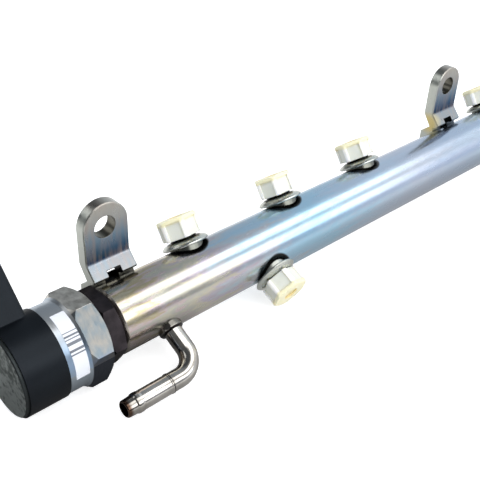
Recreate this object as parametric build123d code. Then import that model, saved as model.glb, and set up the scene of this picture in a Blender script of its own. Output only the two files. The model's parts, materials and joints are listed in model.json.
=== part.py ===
"""Diesel common rail for a six-cylinder engine, with its pressure control valve and pressure sensor.

The rail tube lies along X. Its left end (-X) carries the pressure control valve and its right end
(+X) the pressure sensor. The engine is behind it (+Y), and +Z is up. The origin is the centre of the
middle bracket's bolt hole, on the rear face that lies against the engine. Everything is drawn about
the tube's own axis and moved to that origin when it is written. Lengths are in millimetres.
"""
from build123d import *
import math
import os

# ---------------------------------------------------------------- rail tube
TUBE_OD = 27.0
TUBE_R = TUBE_OD / 2
RAIL_BORE_R = 5.0
TUBE_LENGTH = 440.0
TUBE_LEFT = -TUBE_LENGTH / 2
TUBE_RIGHT = TUBE_LENGTH / 2
TUBE_CHAMFER = 1.5

# sockets at the tube's two ends: an M18 x 1.5 thread, a smooth bore and a shoulder
THREAD_R = 9.0
THREAD_PLAY = 0.05
THREAD_DEPTH = 12.0
SMOOTH_BORE_R = 7.4
SHOULDER_DEPTH = 28.0
SENSOR_SOCKET_DEPTH = 14.0

# pieces welded to the tube are drawn from this far out and then cut to the tube's round
WELD_ROOT = 8.0
# the small bevel on turned edges
EDGE_BREAK = 0.4

# ---------------------------------------------------------------- ports
PORT_PITCH = 53.6
FIRST_PORT_X = -175.2
# the fourth place along the rail is left free for the middle bracket
PORT_STEPS = [0, 1, 2, 4, 5, 6]
PORT_LEAN = 55.0
FEED_X = -144.4
FEED_LEAN = 203.5
PORT_THREAD_R = 6.0
PORT_NECK_R = 6.9
PORT_FLANGE_R = 9.7
FLANGE_BOTTOM = 14.0
FLANGE_RIM = 1.2
FLANGE_SHOULDER_R = 8.5
FLANGE_SHOULDER = 15.8
FLANGE_TOP_R = 6.8
FLANGE_TOP = 16.4
THREAD_RELIEF = 0.6
THREAD_LEAD = 0.8
PORT_TOP = 23.6
PORT_BORE_R = 1.6
CONE_MOUTH_R = 3.8
CONE_DEPTH = 3.8
THROTTLE_R = 2.4
THROTTLE_LENGTH = 4.0
THROTTLE_HOLE_R = 0.45
THROTTLE_BOTTOM = 8.2

# plastic cap over each threaded port
CAP_FLATS = 15.2
CAP_BOTTOM = 16.7
CAP_TOP = 25.2
CAP_END_WALL = 1.4
CAP_PANEL_WIDTH = 6.2
CAP_PANEL_DEPTH = 0.7
CAP_RIM = 1.5
CAP_CORNER_CUT = 0.2
CAP_EDGE_R = 0.7
CAP_DIMPLE_R = 3.1
CAP_DIMPLE_DEPTH = 0.8
CAP_TURNS = [12.0, 54.0, 14.0, 8.0, 18.0, 4.0]
FEED_CAP_TURN = 37.0
INJECTOR_CAP_LIFT = 0.7

# ---------------------------------------------------------------- brackets
BRACKET_PITCH = 211.0
BRACKET_WIDTH = 19.2
# the bolt hole is not quite in the middle of the pressing
BRACKET_SHIFT_X = 0.5
PLATE = 5.2
TAB_FRONT_Y = 9.8
TAB_REAR_Y = TAB_FRONT_Y + PLATE
BOLT_HOLE_R = 4.5
BOLT_Z = 33.8
TAB_BEND_Z = 20.4
WELD_ANGLE = 55.0
LIP_ROOT = (8.2, 12.9)
LIP_EDGE = (5.9, 14.0)
LIP_FRONT = (5.2, 15.3)
CROTCH_Y = 10.5
CROTCH_Z = 13.0
# the foot's back lies in the plane of the tab's rear face, close behind the tube
FOOT_TOP_Z = 9.4
FOOT_END_Z = 3.6
FOOT_END_ANGLE = 15.0
REAR_BEND_DROP = 1.2
BEND_R_INSIDE = 2.5
TAB_BEVEL = 0.4
WINDOW_WIDTH = 5.9
WINDOW_OFFSET_X = 0.4
WINDOW_BACK_Y = 11.6
WINDOW_TOP_Z = 17.0
WINDOW_FLOOR_Z = 10.5

# ---------------------------------------------------------------- fuel return nipple
NIPPLE_X = -199.25
NIPPLE_LEAN = 205.0
PIPE_OD = 7.5
PIPE_R = PIPE_OD / 2
PIPE_BORE_R = 2.7
PIPE_START = 9.6
PIPE_REACH = 32.0
BEND_R = 9.2
PIPE_END_X = -232.9
BEAD_X = -227.4
BEAD_RISE = 0.2
BEAD_WIDTH = 3.2
SEAM_X = -212.5
SEAM_RISE = 0.2
SEAM_WIDTH = 1.3
PIPE_TIP_DROP = 0.8
BOSS_R = 5.1
BOSS_TOP = 15.2
RETURN_DRILL_R = 2.0

# ---------------------------------------------------------------- pressure control valve
# distances outwards from the tube's left end face; negative ones are inside the tube
NUT_FLATS = 27.0
NUT_CORNER = 63.0
NUT_INNER_FACE = 0.15
NUT_OUTER_FACE = 6.7
NUT_CHAMFER_RISE = 0.9
HEX_FLATS = 32.4
HEX_CORNER = 48.5
HEX_INNER_FACE = 7.1
HEX_OUTER_FACE = 16.4
HEX_CHAMFER_RISE = 1.45
CONE_CREST = 14.8
CONE_FOOT = 17.5
HOUSING_R = 16.6
HOUSING_STEP = 25.3
YOKE_R = 14.6
YOKE_BORE_R = 12.4
YOKE_END = 38.7
COIL_ROOM_FLOOR = 18.6
LEAD_SLOT_WIDTH = 7.0
LEAD_SLOT_DEPTH = 6.0
MOULDING_R = 17.1
MOULDING_END = 40.7
END_PLATE_R = 16.4
END_PLATE_FACE = 42.0
SHANK_R = THREAD_R - THREAD_PLAY
SHANK_THREAD_END = -11.0
LAND_R = 7.3
RING_GROOVE_R = 5.6
RING_GROOVE = (-13.2, -16.6)
WAIST_R = 6.2
WAIST = (-18.0, -25.0)
NOSE_END = -27.95
NOSE_BORE_R = 4.0
RETURN_CHAMBER_R = 3.2
RETURN_CHAMBER = (-17.0, -23.8)
RETURN_HOLE_R = 1.1
RETURN_HOLE_AT = -21.0
PIN_R = 1.5
PIN_GUIDE_R = 1.55
PIN_TIP_R = 0.9
PIN_HEAD = 28.0
BALL_R = 1.2
BALL_SEAT_GAP = 0.05
SEAT_ANGLE = 45.0
SEAT_BORE_R = 0.5
SEAT_CONE_WIDTH = 1.2
SEAT_INLET_R = 2.6
SEAT_INLET_DEPTH = 1.2
ARMATURE_R = 6.2
ARMATURE = (19.0, 29.4)
ARMATURE_TRAVEL = 0.4
STOP_PLAY = 0.05
STOP_R = 6.2
SPRING_ROOM_R = 2.4
SPRING_WIRE_R = 0.35
SPRING_R = 1.85
SPRING_START = 28.05
SPRING_END = 35.3
SPRING_PLAY = 0.05
SPRING_TURNS = 7
BOBBIN = (19.2, 38.3)
BOBBIN_HUB_R = 7.4
BOBBIN_BORE_R = 6.35
BOBBIN_FLANGE_R = 12.2
BOBBIN_FLANGE = 1.3
WINDING_R = 11.4

# connector arm, which leans back over the rail as the ports do
ARM_LEAN = 47.0
ARM_FOOT = 10.6
ARM_TOP = 52.0
ARM_MIDDLE = 34.4
ARM_X_WIDTH = 12.4
ARM_WIDTH = 18.8
ARM_CORNER_R = 2.0
ARM_TAPER = 0.6
SOCKET_DEPTH = 14.0
SOCKET_WALL = 1.2
SOCKET_CORNER_R = 1.0
BLADE = (0.8, 2.6, 9.0)
BLADE_GAP = 5.0
BLADE_ROOT = 16.5

LABEL_THICKNESS = 0.12
LABEL_FROM = 17.6
LABEL_TO = 23.0
LABEL_ANGLES = (97.8, 187.3)

# ---------------------------------------------------------------- rail pressure sensor
# distances outwards from the tube's right end face
WASHER = (0.0, 1.6)
WASHER_R = 12.0
SENSOR_FLATS = 27.0
SENSOR_HEX = (1.6, 11.6)
SENSOR_CAN_R = 12.0
SENSOR_CAN_END = 22.0
SENSOR_CAN_EDGE = 0.8
SENSOR_CHAMFER_RISE = 1.2
SENSOR_SHANK_END = -12.5
SENSOR_SHANK_LEAD = 1.5
SENSOR_PORT_R = 1.5
SENSOR_MOULDING_R = 11.2
SENSOR_MOULDING_END = 28.0
SENSOR_MOULDING_EDGE = 1.0
SENSOR_SOCKET_END = 46.0
SENSOR_SOCKET_SIZE = (22.0, 15.0)
SENSOR_BLADES = 3
SENSOR_BLADE_ROOT = 1.5


def turned(points):
    """A solid turned about Z from a closed outline of (radius, height) points."""
    outline = make_face(Polyline(*points, close=True))
    return revolve(Plane.XZ * outline, axis=Axis.Z)


def cylinder(radius, bottom, top):
    return turned([(0, bottom), (radius, bottom), (radius, top), (0, top)])


def ring(inner, outer, bottom, top):
    return turned([(inner, bottom), (outer, bottom), (outer, top), (inner, top)])


def hexagon(flats, bottom, top, turn=0.0):
    """A hexagonal prism; its first corner lies at the angle turn from the local X axis."""
    outline = RegularPolygon(radius=flats / math.sqrt(3), side_count=6, rotation=turn)
    return Pos(0, 0, bottom) * extrude(outline, amount=top - bottom)


def lean(angle):
    """The direction square to the rail at an angle measured from +Y towards +Z."""
    return (0, math.cos(math.radians(angle)), math.sin(math.radians(angle)))


def radial(x, angle):
    """A frame on the tube's axis whose Z points out of the tube at the given angle."""
    return Plane(origin=(x, 0, 0), x_dir=(1, 0, 0), z_dir=lean(angle)).location


TUBE_FRAME = Plane(origin=(0, 0, 0), x_dir=(0, 1, 0), z_dir=(1, 0, 0)).location
VALVE_FRAME = Plane(origin=(TUBE_LEFT, 0, 0), x_dir=(0, 1, 0), z_dir=(-1, 0, 0)).location
SENSOR_FRAME = Plane(origin=(TUBE_RIGHT, 0, 0), x_dir=(0, 1, 0), z_dir=(1, 0, 0)).location
PORT_X = [FIRST_PORT_X + PORT_PITCH * step for step in PORT_STEPS]
BRACKET_X = {"left": -BRACKET_PITCH, "middle": 0.0, "right": BRACKET_PITCH}


# ---------------------------------------------------------------- rail tube
def rail_tube():
    """A drawn tube with chamfered ends, a stepped socket in each end and a drilling under each port."""
    left, right, edge = TUBE_LEFT, TUBE_RIGHT, TUBE_CHAMFER
    tube = turned([
        (RAIL_BORE_R, left + SHOULDER_DEPTH),
        (SMOOTH_BORE_R, left + SHOULDER_DEPTH),
        (SMOOTH_BORE_R, left + THREAD_DEPTH),
        (THREAD_R, left + THREAD_DEPTH),
        (THREAD_R, left),
        (TUBE_R - edge, left),
        (TUBE_R, left + edge),
        (TUBE_R, right - edge),
        (TUBE_R - edge, right),
        (THREAD_R, right),
        (THREAD_R, right - SENSOR_SOCKET_DEPTH),
        (RAIL_BORE_R, right - SENSOR_SOCKET_DEPTH),
    ])
    tube = TUBE_FRAME * tube
    for x in PORT_X:
        tube -= radial(x, PORT_LEAN) * cylinder(THROTTLE_R, THROTTLE_BOTTOM, TUBE_OD)
        tube -= radial(x, PORT_LEAN) * cylinder(PORT_BORE_R, 0, TUBE_OD)
    tube -= radial(FEED_X, FEED_LEAN) * cylinder(PORT_BORE_R, 0, TUBE_OD)
    tube -= radial(NIPPLE_X, NIPPLE_LEAN) * cylinder(RETURN_DRILL_R, 0, TUBE_OD)
    tube -= radial(NIPPLE_X, NIPPLE_LEAN) * cylinder(PIPE_R, PIPE_START, TUBE_OD)
    return tube


# ---------------------------------------------------------------- ports and their caps
def port_body():
    """A turned port: weld neck, domed flange, threaded neck and a sealing cone at its mouth."""
    body = turned([
        (PORT_BORE_R, WELD_ROOT),
        (PORT_NECK_R, WELD_ROOT),
        (PORT_NECK_R, FLANGE_BOTTOM),
        (PORT_FLANGE_R - EDGE_BREAK, FLANGE_BOTTOM),
        (PORT_FLANGE_R, FLANGE_BOTTOM + EDGE_BREAK),
        (PORT_FLANGE_R, FLANGE_BOTTOM + FLANGE_RIM - EDGE_BREAK),
        (PORT_FLANGE_R - EDGE_BREAK, FLANGE_BOTTOM + FLANGE_RIM),
        (FLANGE_SHOULDER_R, FLANGE_SHOULDER),
        (FLANGE_TOP_R, FLANGE_TOP),
        (PORT_THREAD_R - THREAD_RELIEF, FLANGE_TOP),
        (PORT_THREAD_R - THREAD_RELIEF, FLANGE_TOP + THREAD_RELIEF),
        (PORT_THREAD_R, FLANGE_TOP + 2 * THREAD_RELIEF),
        (PORT_THREAD_R, PORT_TOP - THREAD_LEAD),
        (PORT_THREAD_R - THREAD_LEAD, PORT_TOP),
        (CONE_MOUTH_R, PORT_TOP),
        (PORT_BORE_R, PORT_TOP - CONE_DEPTH),
    ])
    return body


def seated_port(x, angle):
    """A port set on the tube, its foot cut to the tube's own round."""
    return radial(x, angle) * port_body() - TUBE_FRAME * cylinder(TUBE_R, x - TUBE_OD, x + TUBE_OD)


def throttle_insert(x):
    """A pressed-in plug with a fine hole, which damps the pressure waves of one injector."""
    return radial(x, PORT_LEAN) * ring(
        THROTTLE_HOLE_R, THROTTLE_R, THROTTLE_BOTTOM, THROTTLE_BOTTOM + THROTTLE_LENGTH
    )


def port_cap():
    """A moulded hexagonal cup with ribbed corners, sunk sides and a dimple in its end."""
    cap = hexagon(CAP_FLATS, CAP_BOTTOM, CAP_TOP)
    corner_r = CAP_FLATS / math.sqrt(3) - CAP_CORNER_CUT
    cap &= turned([
        (0, CAP_BOTTOM),
        (corner_r - EDGE_BREAK, CAP_BOTTOM),
        (corner_r, CAP_BOTTOM + EDGE_BREAK),
        (corner_r, CAP_TOP - CAP_EDGE_R),
        (corner_r - CAP_EDGE_R, CAP_TOP),
        (0, CAP_TOP),
    ])
    cap -= cylinder(PORT_THREAD_R, CAP_BOTTOM, CAP_TOP - CAP_END_WALL)
    cap -= cylinder(CAP_DIMPLE_R, CAP_TOP - CAP_DIMPLE_DEPTH, CAP_TOP)
    panel_height = CAP_TOP - CAP_RIM - CAP_BOTTOM
    panel = Pos(CAP_FLATS / 2, 0, CAP_BOTTOM + panel_height / 2) * Box(
        2 * CAP_PANEL_DEPTH, CAP_PANEL_WIDTH, panel_height
    )
    for side in range(6):
        cap -= Rot(0, 0, 30 + 60 * side) * panel
    return cap


def injector_cap(number):
    seat = Pos(0, 0, INJECTOR_CAP_LIFT) * Rot(0, 0, CAP_TURNS[number])
    return radial(PORT_X[number], PORT_LEAN) * seat * port_cap()


# ---------------------------------------------------------------- brackets
def on_tube(radius, angle):
    return (radius * math.cos(math.radians(angle)), radius * math.sin(math.radians(angle)))


def bracket(x):
    """A thick pressing: a foot welded to the tube's upper back, a short leaning leg and an upright tab."""
    middle_x = x + BRACKET_SHIFT_X
    tab_top = BOLT_Z + BRACKET_WIDTH / 2
    outline = Curve() + [
        Polyline(
            on_tube(TUBE_R, WELD_ANGLE),
            LIP_ROOT,
            LIP_EDGE,
            LIP_FRONT,
            (TAB_FRONT_Y, TAB_BEND_Z),
            (TAB_FRONT_Y, tab_top),
            (TAB_REAR_Y, tab_top),
            (TAB_REAR_Y, TAB_BEND_Z - REAR_BEND_DROP),
            (CROTCH_Y, CROTCH_Z),
            (TAB_REAR_Y, FOOT_TOP_Z),
            (TAB_REAR_Y, FOOT_END_Z),
            on_tube(TUBE_R, FOOT_END_ANGLE),
        ),
        ThreePointArc(
            on_tube(TUBE_R, FOOT_END_ANGLE),
            on_tube(TUBE_R, (WELD_ANGLE + FOOT_END_ANGLE) / 2),
            on_tube(TUBE_R, WELD_ANGLE),
        ),
    ]
    side_view = Plane(origin=(middle_x, 0, 0), x_dir=(0, 1, 0), z_dir=(1, 0, 0))
    plate = extrude(side_view * make_face(outline), amount=BRACKET_WIDTH / 2, both=True)
    along_x = plate.edges().filter_by(Axis.X)
    bends = along_x.filter_by_position(Axis.Z, TAB_BEND_Z - 2 * REAR_BEND_DROP, TAB_BEND_Z + REAR_BEND_DROP)
    plate = fillet(bends, BEND_R_INSIDE)
    across = Plane(origin=(middle_x, 0, BOLT_Z), x_dir=(1, 0, 0), z_dir=(0, 1, 0))
    tab_round = extrude(across * Circle(BRACKET_WIDTH / 2), amount=TUBE_OD, both=True)
    above_bolt = Pos(middle_x, 0, tab_top) * Box(BRACKET_WIDTH, 2 * TUBE_OD, BRACKET_WIDTH)
    plate -= above_bolt - tab_round
    bolt_hole = across * Pos(-BRACKET_SHIFT_X, 0) * Circle(BOLT_HOLE_R)
    plate -= extrude(bolt_hole, amount=TUBE_OD, both=True)
    window_height = WINDOW_TOP_Z - WINDOW_FLOOR_Z
    plate -= Pos(x + WINDOW_OFFSET_X, WINDOW_BACK_Y / 2, WINDOW_FLOOR_Z + window_height / 2) * Box(
        WINDOW_WIDTH, WINDOW_BACK_Y, window_height
    )
    edges = plate.edges().filter_by(GeomType.CIRCLE).filter_by_position(Axis.Z, BOLT_Z, tab_top)
    rim = [edge for edge in edges if edge.radius > BOLT_HOLE_R + TAB_BEVEL]
    return chamfer(rim, TAB_BEVEL)


# ---------------------------------------------------------------- fuel return nipple
def return_boss():
    """A small collar welded to the tube, which the return pipe is brazed into."""
    boss = turned([
        (PIPE_R, WELD_ROOT),
        (BOSS_R, WELD_ROOT),
        (BOSS_R, BOSS_TOP - 2 * EDGE_BREAK),
        (BOSS_R - EDGE_BREAK / 2, BOSS_TOP - EDGE_BREAK),
        (BOSS_R - EDGE_BREAK, BOSS_TOP - EDGE_BREAK / 3),
        (BOSS_R - 2 * EDGE_BREAK, BOSS_TOP),
        (PIPE_R, BOSS_TOP),
    ])
    boss = radial(NIPPLE_X, NIPPLE_LEAN) * boss
    return boss - TUBE_FRAME * cylinder(TUBE_R, NIPPLE_X - TUBE_OD, NIPPLE_X + TUBE_OD)


def return_pipe():
    """A bent pipe: straight out of the boss, then along the rail to a beaded hose end."""
    arm_start = NIPPLE_X - BEND_R
    bead = SEAM_X - BEAD_X
    length = SEAM_X - PIPE_END_X
    bend_start = PIPE_REACH - BEND_R
    half_bend = BEND_R * math.cos(math.pi / 4)
    path = Curve() + [
        Line((NIPPLE_X, PIPE_START), (NIPPLE_X, bend_start)),
        ThreePointArc(
            (NIPPLE_X, bend_start),
            (arm_start + half_bend, bend_start + half_bend),
            (arm_start, PIPE_REACH),
        ),
        Line((arm_start, PIPE_REACH), (SEAM_X, PIPE_REACH)),
    ]
    start = Plane(origin=(NIPPLE_X, PIPE_START, 0), z_dir=(0, 1, 0))
    outside = sweep(start * Circle(PIPE_R), path=path)
    inside = sweep(start * Circle(PIPE_BORE_R), path=path)
    hose_end = turned([
        (PIPE_BORE_R, 0),
        (PIPE_R, 0),
        (PIPE_R + SEAM_RISE, SEAM_RISE),
        (PIPE_R + SEAM_RISE, SEAM_WIDTH - SEAM_RISE),
        (PIPE_R, SEAM_WIDTH),
        (PIPE_R, bead - BEAD_WIDTH / 2),
        (PIPE_R + BEAD_RISE / 2, bead - BEAD_WIDTH / 3),
        (PIPE_R + BEAD_RISE, bead - BEAD_WIDTH / 6),
        (PIPE_R + BEAD_RISE, bead + BEAD_WIDTH / 6),
        (PIPE_R + BEAD_RISE / 2, bead + BEAD_WIDTH / 3),
        (PIPE_R - PIPE_TIP_DROP / 4, bead + BEAD_WIDTH / 2),
        (PIPE_R - PIPE_TIP_DROP / 2, length - EDGE_BREAK),
        (PIPE_R - PIPE_TIP_DROP, length),
        (PIPE_BORE_R, length),
    ])
    along_arm = Plane(origin=(SEAM_X, PIPE_REACH, 0), x_dir=(0, 1, 0), z_dir=(-1, 0, 0)).location
    flat_pipe = outside - inside + along_arm * hose_end
    swing = Plane(origin=(0, 0, 0), x_dir=(1, 0, 0), z_dir=lean(NIPPLE_LEAN + 90)).location
    return swing * flat_pipe


# ---------------------------------------------------------------- pressure control valve
def valve_body():
    """Hexagon, threaded shank and magnet housing, turned and milled from one bar."""
    corner_r = HEX_FLATS / math.sqrt(3)
    outside = turned([
        (0, NOSE_END),
        (LAND_R - 2 * EDGE_BREAK, NOSE_END),
        (LAND_R, NOSE_END + 2 * EDGE_BREAK),
        (LAND_R, WAIST[1]),
        (WAIST_R, WAIST[1] + EDGE_BREAK),
        (WAIST_R, WAIST[0]),
        (LAND_R, WAIST[0]),
        (LAND_R, RING_GROOVE[1]),
        (RING_GROOVE_R, RING_GROOVE[1]),
        (RING_GROOVE_R, RING_GROOVE[0]),
        (LAND_R, RING_GROOVE[0]),
        (LAND_R, SHANK_THREAD_END),
        (SHANK_R, SHANK_THREAD_END + 1),
        (SHANK_R, HEX_INNER_FACE),
        (corner_r, HEX_INNER_FACE),
        (corner_r, CONE_CREST),
        (HOUSING_R, CONE_FOOT),
        (HOUSING_R, HOUSING_STEP),
        (YOKE_R, HOUSING_STEP),
        (YOKE_R, YOKE_END),
        (YOKE_BORE_R, YOKE_END),
        (YOKE_BORE_R, COIL_ROOM_FLOOR),
        (0, COIL_ROOM_FLOOR),
    ])
    blank = cylinder(2 * corner_r, HEX_INNER_FACE, HEX_OUTER_FACE)
    flats = blank - VALVE_HEX_TURN * hexagon(HEX_FLATS, HEX_INNER_FACE, HEX_OUTER_FACE)
    flat_r = HEX_FLATS / 2
    chamfer_rise = HEX_CHAMFER_RISE * (2 * corner_r - flat_r) / (corner_r - flat_r)
    chamfer_cut = turned([
        (flat_r, HEX_INNER_FACE),
        (2 * corner_r, HEX_INNER_FACE),
        (2 * corner_r, HEX_INNER_FACE + chamfer_rise),
    ])
    body = outside - flats - chamfer_cut
    body -= cylinder(PIN_GUIDE_R, RETURN_CHAMBER[0] - 1, COIL_ROOM_FLOOR + 1)
    body -= cylinder(RETURN_CHAMBER_R, RETURN_CHAMBER[1] - 1, RETURN_CHAMBER[0])
    body -= cylinder(NOSE_BORE_R, NOSE_END, RETURN_CHAMBER[1])
    for turn in (0, 90):
        across = Rot(0, 0, turn) * Rot(90, 0, 0) * cylinder(RETURN_HOLE_R, -LAND_R, LAND_R)
        body -= Pos(0, 0, RETURN_HOLE_AT) * across
    lead_slot = Pos(YOKE_R, 0, YOKE_END - LEAD_SLOT_DEPTH / 2) * Box(
        2 * YOKE_R, LEAD_SLOT_WIDTH, LEAD_SLOT_DEPTH
    )
    return body - ARM_TURN * lead_slot


def valve_end_plate():
    """The steel disc that closes the magnet and stands a little proud of the moulding."""
    return turned([
        (0, YOKE_END),
        (YOKE_R, YOKE_END),
        (YOKE_R, MOULDING_END),
        (END_PLATE_R, MOULDING_END),
        (END_PLATE_R, END_PLATE_FACE - EDGE_BREAK),
        (END_PLATE_R - EDGE_BREAK, END_PLATE_FACE),
        (0, END_PLATE_FACE),
    ])


def valve_lock_nut():
    """A thin M18 nut that locks the valve's shank against the tube's end."""
    corner_r = NUT_FLATS / math.sqrt(3)
    nut = hexagon(NUT_FLATS, NUT_INNER_FACE, NUT_OUTER_FACE)
    nut &= turned([
        (THREAD_R, NUT_INNER_FACE),
        (NUT_FLATS / 2, NUT_INNER_FACE),
        (corner_r, NUT_INNER_FACE + NUT_CHAMFER_RISE),
        (corner_r, NUT_OUTER_FACE - NUT_CHAMFER_RISE),
        (NUT_FLATS / 2, NUT_OUTER_FACE),
        (THREAD_R, NUT_OUTER_FACE),
    ])
    return nut


def valve_seat():
    """The hardened seat at the valve's nose, with a fine bore that opens into a cone."""
    top = RETURN_CHAMBER[1]
    cone_depth = SEAT_CONE_WIDTH / math.tan(math.radians(SEAT_ANGLE))
    return turned([
        (SEAT_BORE_R, top - cone_depth),
        (SEAT_BORE_R + SEAT_CONE_WIDTH, top),
        (NOSE_BORE_R, top),
        (NOSE_BORE_R, NOSE_END),
        (SEAT_INLET_R, NOSE_END),
        (SEAT_INLET_R, NOSE_END + SEAT_INLET_DEPTH),
        (SEAT_BORE_R, NOSE_END + SEAT_INLET_DEPTH),
    ])


def ball_height():
    """The height of the ball's centre when it is just clear of the seat's cone."""
    slope = math.radians(SEAT_ANGLE)
    cone_tip = RETURN_CHAMBER[1] - (SEAT_CONE_WIDTH + SEAT_BORE_R) / math.tan(slope)
    return cone_tip + (BALL_R + BALL_SEAT_GAP) / math.sin(slope)


def valve_ball():
    return Pos(0, 0, ball_height()) * Sphere(BALL_R)


def armature_pin():
    """The pin that carries the armature's push to the ball, with a cupped tip."""
    tip = ball_height() + BALL_R / 2
    pin = turned([
        (0, tip),
        (PIN_TIP_R, tip),
        (PIN_R, tip + BALL_R),
        (PIN_R, PIN_HEAD),
        (0, PIN_HEAD),
    ])
    return pin - valve_ball()


def armature():
    """The sliding iron plunger, pressed on the pin and bored for the spring's foot."""
    bottom, top = ARMATURE
    return turned([
        (PIN_R, bottom),
        (ARMATURE_R, bottom),
        (ARMATURE_R, top),
        (SPRING_ROOM_R, top),
        (SPRING_ROOM_R, PIN_HEAD),
        (PIN_R, PIN_HEAD),
    ])


def armature_stop():
    """The plug that limits the armature's travel and holds the spring."""
    face = ARMATURE[1] + ARMATURE_TRAVEL + STOP_PLAY
    return turned([
        (SPRING_ROOM_R, face),
        (STOP_R, face),
        (STOP_R, YOKE_END),
        (0, YOKE_END),
        (0, SPRING_END + SPRING_PLAY),
        (SPRING_ROOM_R, SPRING_END + SPRING_PLAY),
    ])


def valve_spring():
    """The closing spring, coiled from round wire between the armature and its stop."""
    height = SPRING_END - SPRING_START - 2 * SPRING_WIRE_R
    coil = Helix(pitch=height / SPRING_TURNS, height=height, radius=SPRING_R)
    coil = Pos(0, 0, SPRING_START + SPRING_WIRE_R) * coil
    section = Plane(origin=coil @ 0, z_dir=coil % 0) * Circle(SPRING_WIRE_R)
    return sweep(section, path=coil)


def coil_bobbin():
    bottom, top = BOBBIN
    return turned([
        (BOBBIN_BORE_R, bottom),
        (BOBBIN_FLANGE_R, bottom),
        (BOBBIN_FLANGE_R, bottom + BOBBIN_FLANGE),
        (BOBBIN_HUB_R, bottom + BOBBIN_FLANGE),
        (BOBBIN_HUB_R, top - BOBBIN_FLANGE),
        (BOBBIN_FLANGE_R, top - BOBBIN_FLANGE),
        (BOBBIN_FLANGE_R, top),
        (BOBBIN_BORE_R, top),
    ])


def coil_winding():
    return ring(BOBBIN_HUB_R, WINDING_R, BOBBIN[0] + BOBBIN_FLANGE, BOBBIN[1] - BOBBIN_FLANGE)


def shank_o_ring():
    section_r = (SMOOTH_BORE_R - RING_GROOVE_R) / 2
    middle = RING_GROOVE_R + section_r
    return Pos(0, 0, RING_GROOVE[0] - section_r) * Torus(middle, section_r)


def shank_backup_ring():
    section = SMOOTH_BORE_R - RING_GROOVE_R
    return ring(RING_GROOVE_R, LAND_R, RING_GROOVE[1], RING_GROOVE[0] - section)


def connector_arm_outline(length_x, length_y):
    return RectangleRounded(length_x, length_y, ARM_CORNER_R)


def arm_frame():
    """A frame on the moulding's middle whose Z runs up the connector arm."""
    return radial(TUBE_LEFT - ARM_MIDDLE, ARM_LEAN)


def socket_size():
    return (ARM_X_WIDTH - ARM_TAPER - 2 * SOCKET_WALL, ARM_WIDTH - ARM_TAPER - 2 * SOCKET_WALL)


def valve_connector():
    """The black moulding: a ring over the magnet's yoke and an arm that ends in a plug socket."""
    band = ring(YOKE_R, MOULDING_R, HOUSING_STEP, MOULDING_END)
    foot = connector_arm_outline(ARM_X_WIDTH, ARM_WIDTH)
    head = connector_arm_outline(ARM_X_WIDTH - ARM_TAPER, ARM_WIDTH - ARM_TAPER)
    arm = loft([Pos(0, 0, ARM_FOOT) * foot, Pos(0, 0, ARM_TOP) * head])
    width, depth = socket_size()
    socket = Pos(0, 0, ARM_TOP - SOCKET_DEPTH) * extrude(
        RectangleRounded(width, depth, SOCKET_CORNER_R), amount=SOCKET_DEPTH
    )
    arm = arm_frame() * (arm - socket)
    arm -= VALVE_FRAME * cylinder(YOKE_R, HOUSING_STEP, MOULDING_END)
    moulding = VALVE_FRAME * band + arm
    for side in (-1, 1):
        moulding -= blade_stem(side)
    return moulding


def blade_stem(side):
    """One terminal blade: a flat pin from the coil up into the plug socket."""
    thick, wide, _ = BLADE
    top = ARM_TOP - SOCKET_DEPTH + BLADE[2]
    stem = Pos(0, side * BLADE_GAP / 2, (BLADE_ROOT + top) / 2) * Box(thick, wide, top - BLADE_ROOT)
    return arm_frame() * stem


def valve_label():
    """A blank paper strip round part of the housing."""
    strip = ring(HOUSING_R, HOUSING_R + LABEL_THICKNESS, LABEL_FROM, LABEL_TO)
    first, last = LABEL_ANGLES
    middle = (first + last) / 2
    corners = [on_tube(2 * HOUSING_R, angle) for angle in (first, middle, last)]
    side_view = Plane(origin=(TUBE_LEFT - LABEL_TO, 0, 0), x_dir=(0, 1, 0), z_dir=(1, 0, 0))
    wedge = extrude(side_view * make_face(Polyline((0, 0), *corners, close=True)), amount=LABEL_TO)
    return VALVE_FRAME * strip & wedge


# ---------------------------------------------------------------- rail pressure sensor
def sensor_body():
    """Hexagon, threaded shank and steel can of the sensor, with its pressure bore."""
    corner_r = SENSOR_FLATS / math.sqrt(3)
    body = turned([
        (SENSOR_PORT_R, SENSOR_SHANK_END),
        (SHANK_R - SENSOR_SHANK_LEAD, SENSOR_SHANK_END),
        (SHANK_R, SENSOR_SHANK_END + SENSOR_SHANK_LEAD),
        (SHANK_R, SENSOR_HEX[0]),
        (SENSOR_FLATS / 2, SENSOR_HEX[0]),
        (corner_r, SENSOR_HEX[0] + SENSOR_CHAMFER_RISE),
        (corner_r, SENSOR_HEX[1] - SENSOR_CHAMFER_RISE),
        (SENSOR_FLATS / 2, SENSOR_HEX[1]),
        (SENSOR_CAN_R, SENSOR_HEX[1]),
        (SENSOR_CAN_R, SENSOR_CAN_END - SENSOR_CAN_EDGE),
        (SENSOR_CAN_R - SENSOR_CAN_EDGE, SENSOR_CAN_END),
        (SENSOR_PORT_R, SENSOR_CAN_END),
    ])
    blank = cylinder(2 * SENSOR_FLATS, *SENSOR_HEX)
    body -= blank - hexagon(SENSOR_FLATS, *SENSOR_HEX)
    return body + cylinder(SENSOR_CAN_R - SENSOR_CAN_EDGE, SENSOR_HEX[1], SENSOR_CAN_END)


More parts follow.
